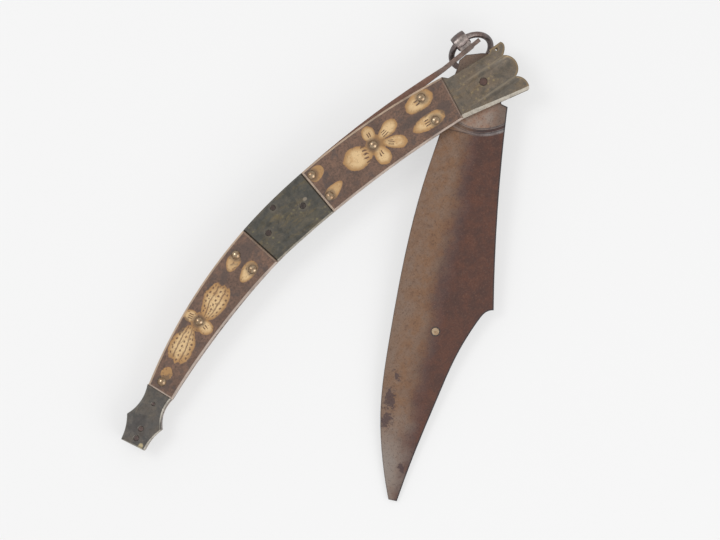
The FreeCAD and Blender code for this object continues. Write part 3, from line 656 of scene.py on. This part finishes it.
def blade_finish():
    """Rust-brown steel: dark along the spine, rubbed towards the edge, paler by the pivot."""
    finish = Finish("rusted_blade")
    rust = looks().blade_rust
    grey = looks().blade_grey
    along, across, _ = finish.split(finish.mapped(PIVOT, BLADE_TURN, (MM, MM, MM)))
    to_edge = finish.times(across, -1.0)
    mottle = finish.noise(5 * MM, detail=6.0, roughness=0.7)
    grain = finish.noise(0.7 * MM, roughness=0.75)
    shift = finish.sway(finish.noise(18 * MM, detail=5.0, roughness=0.62), 16.0)
    inward = finish.plus(to_edge, shift)

    # Rust along the spine, rubbed steel along the edge, and a grey band where they meet
    body = finish.mix(finish.span(mottle, 0.35, 0.68), toned(rust, 0.84), tinted(rust, 1.34, 1.18, 1.0))
    edge_share = finish.span(inward, -5.0, 6.5, 0.0, 0.96)
    colour = finish.mix(edge_share, body, blade_edge_colour(finish, along, inward, mottle))
    band = finish.size(finish.plus(inward, 2.0))
    colour = finish.mix(finish.span(band, 0.5, 4.0, 0.22, 0.0), colour, tinted(rust, 1.0, 1.45, 2.1))
    colour = blade_root(finish, colour, along, across, to_edge, mottle)
    point = finish.span(finish.plus(along, shift), *POINT_STRETCH, 0.0, 0.9)
    pale_point = tinted(looks().blade_bright, 0.84, 0.94, 1.02)
    colour = finish.mix(finish.times(point, edge_share), colour, pale_point)

    # Pits, grain and pale specks
    stain = finish.sway(finish.noise(1.6 * MM, roughness=0.7), 5.0, middle=0.52)
    pitted = functools.reduce(finish.larger, [finish.spot(mark, stain) for mark in BLADE_PITS])
    holes = finish.span(finish.cells(1.2 * MM), 0.12, 0.36, 1.0, 0.0)
    pits = finish.times(finish.span(mottle, 0.55, 0.7), holes)
    colour = finish.mix(finish.times(pits, 0.6), colour, toned(rust, 0.5))
    colour = finish.mix(finish.times(pitted, 0.8), colour, tinted(rust, 0.68, 0.9, 1.3))
    colour = finish.mix(finish.span(grain, 0.50, 0.70, 0.0, 0.62), colour, toned(rust, 0.6))
    colour = finish.mix(finish.span(grain, 0.30, 0.46, 0.32, 0.0), colour, grey)
    specks = finish.span(finish.noise(1.1 * MM, detail=2.0), 0.74, 0.80, 0.0, 0.4)
    colour = finish.mix(specks, colour, toned(grey, 1.8))

    # Painted shade: dark walls and a dark painted outline, broader along the spine
    wall = finish.larger(finish.span(finish.facing(), 0.3, 0.85, 0.7, 0.0), finish.rounded_edges())
    wall = finish.times(wall, finish.span(to_edge, -3.0, 3.0, 0.85, 0.4))
    colour = finish.mix(wall, colour, toned(rust, 0.6))
    edge_rim_shade = finish.times(finish.rim(0.5 * MM, 0.6), finish.span(to_edge, -3.0, 3.0))
    spine_rim_shade = finish.times(finish.rim(0.9 * MM, 0.95), finish.span(to_edge, -3.0, 3.0, 1.0, 0.0))
    colour = finish.mix(finish.larger(edge_rim_shade, spine_rim_shade), colour, tinted(rust, 0.36, 0.72, 1.05))

    finish.bump(finish.minus(finish.times(grain, 0.6), finish.larger(pits, pitted)), STEEL_RELIEF)
    return finish.surface(colour, roughness=finish.span(mottle, 0.3, 0.7, 0.48, 0.66), metallic=0.3)


def brass_patina(finish, dark, golden, gold, cloud, mottle):
    """Dark brass, greenish in clouds, with golden streaks and flecks and near-black patches."""
    green = tinted(dark, 0.84, 0.95, 1.08)
    streak_place = finish.mapped(turn=-6.0, scale=(3.5, 1.0, 1.0))
    streak = finish.noise(3.0 * MM, detail=5.0, roughness=0.7, place=streak_place)
    patches = finish.noise(5 * MM, detail=5.0, roughness=0.7)
    flecks = finish.span(finish.cells(1.9 * MM), 0.14, 0.38, 1.0, 0.0)
    flecks = finish.times(flecks, finish.span(cloud, 0.46, 0.6))
    colour = finish.mix(finish.span(cloud, 0.38, 0.64), green, dark)
    colour = finish.mix(finish.span(streak, 0.48, 0.70, 0.0, gold), colour, golden)
    colour = finish.mix(finish.span(mottle, 0.50, 0.70, 0.0, 0.5), colour, toned(dark, 1.5))
    colour = finish.mix(finish.span(patches, 0.36, 0.50, 0.5, 0.0), colour, tinted(dark, 0.5, 0.56, 0.62))
    colour = finish.mix(finish.span(mottle, 0.32, 0.46, 0.55, 0.0), colour, toned(dark, 0.55))
    return finish.mix(finish.times(flecks, gold), colour, tinted(golden, 1.25, 1.42, 1.5))


def brass_scratches(finish):
    """Share of fine scratches in a few directions."""
    scratches = []
    for turn in SCRATCH_TURNS:
        place = finish.mapped(turn=turn, scale=(SCRATCH_STRETCH, 1.0, 1.0))
        lines = finish.noise(0.7 * MM, detail=1.0, roughness=0.5, place=place)
        scratches.append(finish.span(lines, 0.70, 0.78))
    return functools.reduce(finish.larger, scratches)


def brass_finish(name, dark, rub_and_highlight_share, gold, seams, spots, rim_highlight_from=None):
    """Dark patinated brass with spots, some of them painted highlights and shade, scratches, rubbed edges
    with a painted highlight along the mouth, and painted shade on the other edges and on the ends that meet
    the bone.

    gold is the share of golden marks, seams the share of painted shade on the ends towards the tail and the
    head.
    """
    finish = Finish(name)
    bright = looks().brass_worn_and_highlight
    golden = tinted(dark, 1.6, 1.42, 0.95)
    cloud = finish.noise(10 * MM, detail=5.0, roughness=0.65)
    mottle = finish.noise(2.4 * MM, detail=5.0, roughness=0.7)
    grain = finish.noise(0.45 * MM, detail=3.0, roughness=0.7)
    scratches = brass_scratches(finish)
    colour = brass_patina(finish, dark, golden, gold, cloud, mottle)
    colour = finish.mix(finish.span(grain, 0.52, 0.70, 0.0, 0.6), colour, toned(dark, 0.42))
    colour = finish.mix(finish.times(scratches, 0.1), colour, toned(golden, 2.2))
    stain = finish.sway(mottle, 1.4)
    # Spots: rubbed and darkened marks, and on the head's ridges painted highlights and painted shade
    for *mark, strength, tone, blue in spots:
        share = finish.times(finish.spot(mark, stain), strength)
        colour = finish.mix(share, colour, tinted(toned(bright, tone), 1.0, 0.9, blue))

    # Painted golden highlight along the lobes' ends, then a thin dark outline of painted shade
    if rim_highlight_from is not None:
        to_end = finish.span(finish.split(finish.place)[0], rim_highlight_from, rim_highlight_from + RIM_HIGHLIGHT_STRETCH)
        rim_highlight = finish.times(finish.rim(RIM_HIGHLIGHT_WIDTH, 0.5), to_end)
        colour = finish.mix(rim_highlight, colour, toned(golden, 1.5))
    colour = finish.mix(finish.rim(0.45 * MM, 0.6), colour, toned(dark, 0.45))

    # Edges: a painted highlight on the rubbed edges along the mouth, painted shade on the edges elsewhere,
    # and painted shade on the ends that meet the bone
    level = finish.facing()
    normal_x, normal_y, _ = finish.split(finish.normal)
    slope = finish.times(finish.span(level, 0.30, 0.6), finish.span(level, 0.80, 0.97, 1.0, 0.0))
    to_mouth = finish.span(finish.times(normal_y, -1.0), 0.1, 0.5, 0.12, 1.0)
    outline = finish.times(finish.rounded_edges(), finish.minus(1.0, to_mouth))
    colour = finish.mix(finish.times(outline, 0.6), colour, toned(dark, 0.4))
    rub_and_highlight = finish.larger(finish.times(finish.rounded_edges(), 0.55), slope)
    rub_and_highlight = finish.times(finish.times(rub_and_highlight, to_mouth), finish.span(mottle, 0.3, 0.6, 0.5, 1.0))
    colour = finish.mix(finish.times(rub_and_highlight, rub_and_highlight_share), colour, bright)
    for sign, share in zip((-1.0, 1.0), seams):
        if share:
            turned_in = finish.span(finish.times(normal_x, sign), 0.35, 0.6, 0.0, share)
            colour = finish.mix(turned_in, colour, toned(dark, 0.25))

    height = finish.minus(finish.times(mottle, 0.5), finish.times(scratches, 0.3))
    finish.bump(finish.plus(height, finish.times(grain, 0.3)), BRASS_RELIEF)
    return finish.surface(colour, roughness=finish.span(cloud, 0.3, 0.7, 0.36, 0.50), metallic=0.5)


def pin_finish(name, tone):
    """Rubbed brass, brown in its hollows and bright on its crown."""
    finish = Finish(name)
    mottle = finish.noise(1.3 * MM, roughness=0.65)
    grain = finish.noise(0.35 * MM, detail=2.0)
    foot = finish.span(finish.facing(), 0.55, 0.9, 0.8, 0.0)
    colour = finish.mix(finish.span(mottle, 0.38, 0.62), tone, tinted(tone, 0.62, 0.5, 0.42))
    colour = finish.mix(finish.span(grain, 0.55, 0.75, 0.0, 0.5), colour, toned(tone, 0.45))
    colour = finish.mix(foot, colour, toned(tone, 0.3))
    finish.bump(finish.plus(mottle, finish.times(grain, 0.4)), BRASS_RELIEF)
    return finish.surface(colour, roughness=finish.span(mottle, 0.3, 0.7, 0.20, 0.36), metallic=0.85)


def iron_finish(name, dark, bright, rub_and_highlight_share, rusted_to=None):
    """Brown-black wrought iron, pitted in places, with painted shade on its walls, rubbed bare with a
    painted highlight on its high edges and level tops, and redder up to an x.
    """
    finish = Finish(name)
    cloud = finish.noise(6 * MM, detail=5.0, roughness=0.65)
    mottle = finish.noise(1.5 * MM, detail=5.0, roughness=0.68)
    grain = finish.noise(0.3 * MM, detail=2.0)
    colour = finish.mix(finish.span(cloud, 0.38, 0.66), dark, tinted(dark, 1.25, 1.0, 0.9))
    colour = finish.mix(finish.span(mottle, 0.50, 0.70, 0.0, 0.7), colour, toned(dark, 1.9))
    colour = finish.mix(finish.span(mottle, 0.30, 0.46, 0.6, 0.0), colour, toned(dark, 0.5))
    colour = finish.mix(finish.span(grain, 0.56, 0.8, 0.0, 0.55), colour, toned(dark, 0.5))
    level = finish.facing()
    # Painted shade on the walls
    colour = finish.mix(finish.span(level, 0.30, 0.75, 0.45, 0.0), colour, toned(dark, 0.45))
    # Rubbed bare on the edges and level tops, partly a painted highlight
    rub_and_highlight = finish.larger(finish.rounded_edges(), finish.span(level, 0.86, 0.995, 0.0, 0.7))
    rub_and_highlight = finish.times(rub_and_highlight, finish.span(mottle, 0.3, 0.6, 0.2, rub_and_highlight_share))
    colour = finish.mix(rub_and_highlight, colour, bright)
    if rusted_to is not None:
        along = finish.split(finish.place)[0]
        share = finish.span(along, rusted_to - LEAF_RUST_FADE, rusted_to, 0.5, 0.0)
        colour = finish.mix(share, colour, tinted(dark, 1.47, 0.86, 0.60))
    finish.bump(finish.plus(finish.times(mottle, 0.6), finish.times(grain, 0.3)), IRON_RELIEF)
    return finish.surface(colour, roughness=finish.span(cloud, 0.3, 0.7, 0.27, 0.45), metallic=0.75)


def table_finish():
    """Pale matt table that camera and reflections see near white, without lighting the knife."""
    finish = Finish("pale_table")
    colour = looks().floor_colour
    tone = finish.mix(finish.noise(0.6, detail=2.0), colour, toned(colour, 0.985))
    rays = finish.add("ShaderNodeLightPath", {}).outputs
    seen = finish.larger(rays["Is Camera Ray"], rays["Is Glossy Ray"])
    seen = finish.larger(seen, rays["Is Transmission Ray"])
    finish.shader.inputs["Emission Color"].default_value = (1.0, 1.0, 1.0, 1.0)
    finish.feed(finish.shader.inputs["Emission Strength"], finish.times(seen, TABLE_GLOW))
    return finish.surface(tone, roughness=0.8, metallic=0.0)


def draw_out_mouth(shape, fullness):
    """Bow the lower half's mouth edge outwards by a fullness in millimetres at its middle."""
    for vert in shape.verts:
        along = vert.co.x / MM
        edge = MOUTH_CREST[1] - MOUTH_BEND * (along - MOUTH_CREST[0]) ** 2
        share = (along - LOWER_START) / (LOWER_END - LOWER_START)
        if 0.0 < share < 1.0 and vert.co.y / MM < edge + EDGE_REACH:
            vert.co.y -= fullness * MM * math.sin(math.pi * share)


def worn_copy(node, rounding=0.0, fullness=0.0):
    """A merged copy of a plain solid, with rounded edges where it has a rounding, that stands for it."""
    shape = bmesh.new()
    shape.from_mesh(NODES[node].data)
    bmesh.ops.remove_doubles(shape, verts=shape.verts, dist=MERGE_DISTANCE)
    bmesh.ops.dissolve_limit(
        shape,
        angle_limit=math.radians(FLAT_ANGLE),
        use_dissolve_boundaries=False,
        verts=shape.verts,
        edges=shape.edges,
    )
    if fullness:
        draw_out_mouth(shape, fullness)
    worn = shape.faces.layers.float.new("worn_edge")
    if rounding:
        limit = math.radians(SHARP_ANGLE)
        sharp = [edge for edge in shape.edges if edge.is_manifold and edge.calc_face_angle() > limit]
        made = bmesh.ops.bevel(
            shape,
            geom=sharp,
            offset=rounding,
            offset_type="OFFSET",
            affect="EDGES",
            segments=ROUNDING_STEPS,
            profile=0.5,
            material=-1,
            clamp_overlap=True,
        )
        for face in made["faces"]:
            face[worn] = 1.0
    for face in shape.faces:
        face.smooth = True
    mesh = bpy.data.meshes.new(node + "_worn")
    shape.to_mesh(mesh)
    shape.free()
    mesh.set_sharp_from_angle(angle=math.radians(SMOOTH_ANGLE))
    piece = bpy.data.objects.new(node + "_worn", mesh)
    bpy.context.scene.collection.objects.link(piece)
    weigh = piece.modifiers.new("even_shading", "WEIGHTED_NORMAL")
    weigh.keep_sharp = True
    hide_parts(node)
    return piece


def dress(piece, material, body=None):
    """Give a new piece its finish and, where a body is named, let it ride there."""
    piece.data.materials.clear()
    piece.data.materials.append(material)
    if body:
        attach(piece, body)
    return piece


def both_sides(name):
    """The names of a front piece and of the rear one."""
    return ("front_" + name, "rear_" + name)


class KNIFE_OT_scales(bpy.types.Operator):
    """Stained bone plates with scraped petals"""

    bl_idname = "knife.scales"
    bl_label = "Bone plates"

    def execute(self, context):
        material = bone_finish()
        for plate, fullness in (("upper_scale", 0.0), ("lower_scale", BONE_FULLNESS)):
            for node in both_sides(plate):
                piece = worn_copy(node, looks().bone_rounding, fullness)
                dress(piece, material, "handle")
        return {"FINISHED"}


class KNIFE_OT_bolsters(bpy.types.Operator):
    """Lobed head, middle and tail plates of dark brass"""

    bl_idname = "knife.bolsters"
    bl_label = "Brass plates"

    def execute(self, context):
        dark = looks().brass_dark
        rivets = pin_places("front_middle_rivets") + pin_places("spring_pin")
        halos = tuple((place.x / MM, place.y / MM, *RIVET_HALO) for place in rivets)
        finishes = {
            "head_bolster": brass_finish(
                "head_brass",
                tinted(dark, 1.72, 1.52, 1.40),
                rub_and_highlight_share=1.0,
                gold=0.55,
                seams=(0.9, 0.0),
                spots=RIDGE_HIGHLIGHTS_AND_SHADES,
                rim_highlight_from=RIM_HIGHLIGHT_START,
            ),
            "middle_bolster": brass_finish(
                "middle_brass",
                dark,
                rub_and_highlight_share=0.6,
                gold=0.9,
                seams=(0.75, 0.75),
                spots=PLATE_SPOTS + halos,
            ),
            "tail_bolster": brass_finish(
                "tail_brass",
                tinted(dark, 1.22, 1.20, 1.30),
                rub_and_highlight_share=0.85,
                gold=0.12,
                seams=(0.0, 0.8),
                spots=TAIL_SPOTS,
            ),
        }
        for plate, material in finishes.items():
            for node in both_sides(plate):
                dress(worn_copy(node, looks().edge_rounding), material, "handle")
        return {"FINISHED"}


class KNIFE_OT_liners(bpy.types.Operator):
    """Iron sheets under the bone and brass"""

    bl_idname = "knife.liners"
    bl_label = "Liners"

    def execute(self, context):
        dark = toned(looks().iron_dark, 0.9)
        material = iron_finish("liner_sheet", dark, toned(looks().iron_worn_and_highlight, 1.6), rub_and_highlight_share=1.0)
        for node in both_sides("liner"):
            piece = worn_copy(node, LINER_ROUNDING, LINER_FULLNESS)
            dress(piece, material, "handle")
        return {"FINISHED"}


class KNIFE_OT_pins(bpy.types.Operator):
    """Domed pins of the bone plates and flush rivets of the metal ones"""

    bl_idname = "knife.pins"
    bl_label = "Pins and rivets"

    def execute(self, context):
        domes = pin_finish("pin_brass", looks().pin_brass)
        for node in both_sides("upper_pins") + both_sides("lower_pins"):
            dress(worn_copy(node), domes, "handle")
        rust = looks().blade_rust
        bright = looks().iron_worn_and_highlight
        middle = both_sides("middle_rivets") + ("spring_pin",)
        rivets = (
            ("flush_rivets", toned(looks().iron_dark, 0.42), 0.3, middle),
            ("rusted_rivet", tinted(rust, 1.25, 1.7, 1.95), 0.4, ("pivot_pin",)),
            ("tail_rivet", tinted(rust, 1.1, 1.9, 2.4), 0.4, ("tail_rivets",)),
        )
        for name, dark, gleam, nodes in rivets:
            material = iron_finish(name, dark, toned(bright, gleam), rub_and_highlight_share=0.2)
            for node in nodes:
                dress(worn_copy(node, RIVET_ROUNDING), material, "handle")
        return {"FINISHED"}


class KNIFE_OT_blade(bpy.types.Operator):
    """Rusted clip-point blade with its brass plug"""

    bl_idname = "knife.blade"
    bl_label = "Blade"

    def execute(self, context):
        dress(worn_copy("blade", BLADE_ROUNDING), blade_finish(), "blade")
        plug = pin_finish("plug_brass", toned(looks().pin_brass, 1.35))
        dress(worn_copy("blade_plug", PLUG_ROUNDING), plug, "blade")
        return {"FINISHED"}


class KNIFE_OT_spring(bpy.types.Operator):
    """Iron leaf along the back between its pin and its nose"""

    bl_idname = "knife.spring"
    bl_label = "Back spring"

    def execute(self, context):
        rusty = tinted(looks().iron_dark, 1.02, 0.88, 0.78)
        bright = looks().iron_worn_and_highlight
        material = iron_finish("spring_iron", rusty, bright, rub_and_highlight_share=0.4, rusted_to=LEAF_RUST_END)
        leaf = dress(worn_copy("back_spring", SPRING_ROUNDING), material)
        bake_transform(leaf)
        return {"FINISHED"}


class KNIFE_OT_ring(bpy.types.Operator):
    """Iron eye on the spring's nose and the ring that hangs in it"""

    bl_idname = "knife.ring"
    bl_label = "Eye and ring"

    def execute(self, context):
        grey = tinted(looks().iron_dark, 1.08, 1.18, 1.24)
        material = iron_finish("ring_iron", grey, toned(looks().iron_worn_and_highlight, 1.3), rub_and_highlight_share=0.95)
        dress(worn_copy("ring_lug", EYE_ROUNDING), material, "spring")
        dress(worn_copy("pull_ring"), material, "ring")
        return {"FINISHED"}


def resting_plane():
    """Point and upward normal of the flat surface that the knife lies on."""
    hull = bmesh.new()
    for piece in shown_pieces():
        hull.from_mesh(piece.data)
    bmesh.ops.convex_hull(hull, input=hull.verts, use_existing_faces=False)
    hull.normal_update()
    lowest = min(hull.faces, key=lambda face: face.normal.z * face.calc_area())
    found = lowest.calc_center_median().copy(), -lowest.normal.copy()
    hull.free()
    return found


class KNIFE_OT_stage(bpy.types.Operator):
    """Pale table, soft lamps and a camera straight above the knife"""

    bl_idname = "knife.stage"
    bl_label = "Stage"

    # What the camera sees: the middle and width of its view, and its turn in degrees
    view_centre = Vector((6.76, -36.5, 5.2)) * MM
    view_width = 302.4 * MM
    view_turn = -43.7

    # Each lamp's name, place from the middle of the view, width in metres and power in watts
    lamps = (
        ("window", Vector((-0.2, 0.7, 1.0)), 0.5, 3.6),
        ("wall", Vector((0.15, -0.85, 0.75)), 0.9, 4.5),
    )

    def execute(self, context):
        scene = context.scene
        self.lay_table(scene)
        self.hang_lamps(scene)
        self.set_sky(scene)
        self.place_camera(scene)
        scene.view_settings.view_transform = "Standard"
        return {"FINISHED"}

    def lay_table(self, scene):
        point, normal = resting_plane()
        shape = bmesh.new()
        bmesh.ops.create_grid(shape, x_segments=4, y_segments=4, size=TABLE_REACH)
        turn = normal.to_track_quat("Z", "Y").to_matrix().to_4x4()
        bmesh.ops.transform(shape, matrix=Matrix.Translation(point) @ turn, verts=shape.verts)
        mesh = bpy.data.meshes.new("table")
        shape.to_mesh(mesh)
        shape.free()
        table = bpy.data.objects.new("table", mesh)
        table.data.materials.append(table_finish())
        scene.collection.objects.link(table)
        table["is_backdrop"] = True

    def hang_lamps(self, scene):
        for name, offset, width, power in self.lamps:
            place = self.view_centre + offset
            lamp = bpy.data.lights.new(name, "AREA")
            lamp.shape = "DISK"
            lamp.size = width
            lamp.energy = power
            holder = bpy.data.objects.new(name, lamp)
            holder.location = place
            holder.rotation_euler = (self.view_centre - place).to_track_quat("-Z", "Y").to_euler()
            scene.collection.objects.link(holder)

    def set_sky(self, scene):
        world = bpy.data.worlds.new("soft_sky")
        world.use_nodes = True
        background = world.node_tree.nodes["Background"]
        background.inputs["Color"].default_value = (1.0, 1.0, 1.0, 1.0)
        background.inputs["Strength"].default_value = SKY_STRENGTH
        scene.world = world

    def place_camera(self, scene):
        camera = bpy.data.cameras.new("camera")
        camera.sensor_width = SENSOR_WIDTH
        camera.lens = camera.sensor_width * looks().camera_height / self.view_width
        camera.clip_end = CAMERA_RANGE
        holder = bpy.data.objects.new("camera", camera)
        holder.location = self.view_centre + Vector((0, 0, looks().camera_height))
        holder.rotation_euler = (0, 0, math.radians(self.view_turn))
        scene.collection.objects.link(holder)
        scene.camera = holder


class KNIFE_PT_panel(bpy.types.Panel):
    """Lists the knife's pieces and its colours"""

    bl_idname = "KNIFE_PT_panel"
    bl_label = "Folding knife"
    bl_space_type = "VIEW_3D"
    bl_region_type = "UI"
    bl_category = "Knife"

    def draw(self, context):
        for operator in OPERATORS:
            self.layout.operator(operator.bl_idname, text=operator.bl_label)
        for name in KnifeLooks.__annotations__:
            self.layout.prop(context.scene.knife_looks, name)


OPERATORS = (
    KNIFE_OT_scales,
    KNIFE_OT_bolsters,
    KNIFE_OT_liners,
    KNIFE_OT_pins,
    KNIFE_OT_blade,
    KNIFE_OT_spring,
    KNIFE_OT_ring,
    KNIFE_OT_stage,
)
CLASSES = (KnifeLooks,) + OPERATORS + (KNIFE_PT_panel,)


def register():
    for cls in CLASSES:
        bpy.utils.register_class(cls)
    bpy.types.Scene.knife_looks = bpy.props.PointerProperty(type=KnifeLooks)


def unregister():
    del bpy.types.Scene.knife_looks
    for cls in reversed(CLASSES):
        bpy.utils.unregister_class(cls)


def main():
    """Make every piece and the stage."""
    register()
    bpy.ops.knife.scales()
    bpy.ops.knife.bolsters()
    bpy.ops.knife.liners()
    bpy.ops.knife.pins()
    bpy.ops.knife.blade()
    bpy.ops.knife.spring()
    bpy.ops.knife.ring()
    bpy.ops.knife.stage()


if __name__ == "__main__":
    main()
